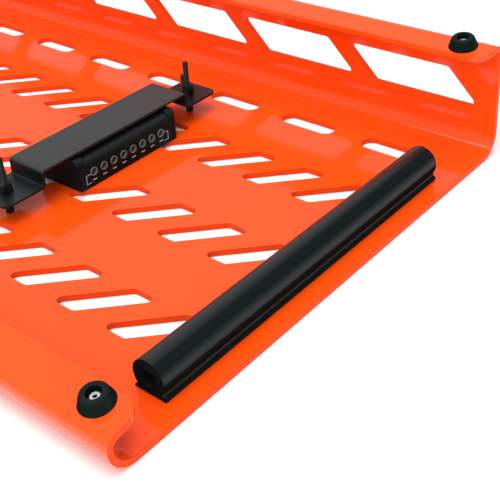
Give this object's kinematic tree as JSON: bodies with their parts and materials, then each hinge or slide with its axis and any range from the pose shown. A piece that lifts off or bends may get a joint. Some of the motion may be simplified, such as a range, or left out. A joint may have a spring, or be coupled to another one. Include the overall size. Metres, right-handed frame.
{
  "type": "pedalboard",
  "caption": "Folded sheet-metal pedalboard shown underside up: slanted slots, windowed rear wall, rubber bumpers and feet, and a small multi-output power supply clamped under a strap.",
  "frame": {"origin": "middle of the playing face of the deck, which is the lowest plane because the board lies deck-down", "axes": "+X along the board towards the end with the nearer power supply, +Y from the low front wall to the tall rear wall, +Z from the playing face towards the feet (turn the board half a turn about X to stand it on its feet)"},
  "size_m": [0.8138, 0.4296, 0.1029],
  "materials": {
    "orange_powder_coat": "gloss powder coat",
    "bumper_rubber": "satin",
    "mounting_tape": "matte",
    "foot_rubber": "satin",
    "bright_steel": "satin",
    "rivet_aluminium": "satin",
    "black_steel": "satin",
    "strap_coat": "satin",
    "foam": "matte",
    "supply_plastic": "satin",
    "circuit_board": "satin",
    "socket_plastic": "gloss",
    "socket_ring": "satin",
    "pin_brass": "polished",
    "ferrite": "matte",
    "capacitor_can": "satin"
  },
  "bodies": {
    "board": {"deck_shell": "orange_powder_coat", "end_bumper_right": "bumper_rubber", "end_bumper_left": "bumper_rubber", "bumper_tape_right": "mounting_tape", "bumper_tape_left": "mounting_tape", "foot_front_right": "foot_rubber", "foot_front_left": "foot_rubber", "foot_rear_right": "foot_rubber", "foot_rear_left": "foot_rubber", "foot_washers": "black_steel", "foot_rivets": "rivet_aluminium", "stud_front": "black_steel", "stud_rear": "black_steel", "spacer_front": "black_steel", "spacer_rear": "black_steel"},
    "strap": {"supply_strap": "strap_coat", "strap_pad": "foam", "nut_washer_front": "black_steel", "nut_washer_rear": "black_steel"},
    "nut_front": {"wing_nut_front": "black_steel"},
    "nut_rear": {"wing_nut_rear": "black_steel"},
    "supply": {"supply_cover": "supply_plastic", "supply_base": "supply_plastic", "supply_screws": "bright_steel", "supply_board": "circuit_board", "output_jacks": "socket_plastic", "output_rings": "socket_ring", "output_pins": "pin_brass", "inlet_jack": "socket_plastic", "inlet_ring": "socket_ring", "inlet_pin": "pin_brass", "supply_coil": "ferrite", "supply_capacitors": "capacitor_can"}
  },
  "joints": [
    {"name": "nut_front_spin", "type": "hinge", "parent": "strap", "child": "nut_front", "pos_m": [0.1488, -0.0768, 0.02385], "axis": [0, 0, 1], "range_deg": [0, 2880]},
    {"name": "nut_rear_spin", "type": "hinge", "parent": "strap", "child": "nut_rear", "pos_m": [0.1488, 0.128, 0.02385], "axis": [0, 0, 1], "range_deg": [0, 2880]},
    {"name": "strap_lift", "type": "slide", "parent": "board", "child": "strap", "axis": [0, 0, 1], "range_m": [0, 0.0064]},
    {"name": "supply_slide", "type": "slide", "parent": "board", "child": "supply", "axis": [1, 0, 0], "range_m": [0, 0.06]}
  ],
  "couplings": [
    {"joint": "nut_front_spin", "follows": "strap_lift", "rad_per_m": 7854},
    {"joint": "nut_rear_spin", "follows": "strap_lift", "rad_per_m": 7854}
  ]
}
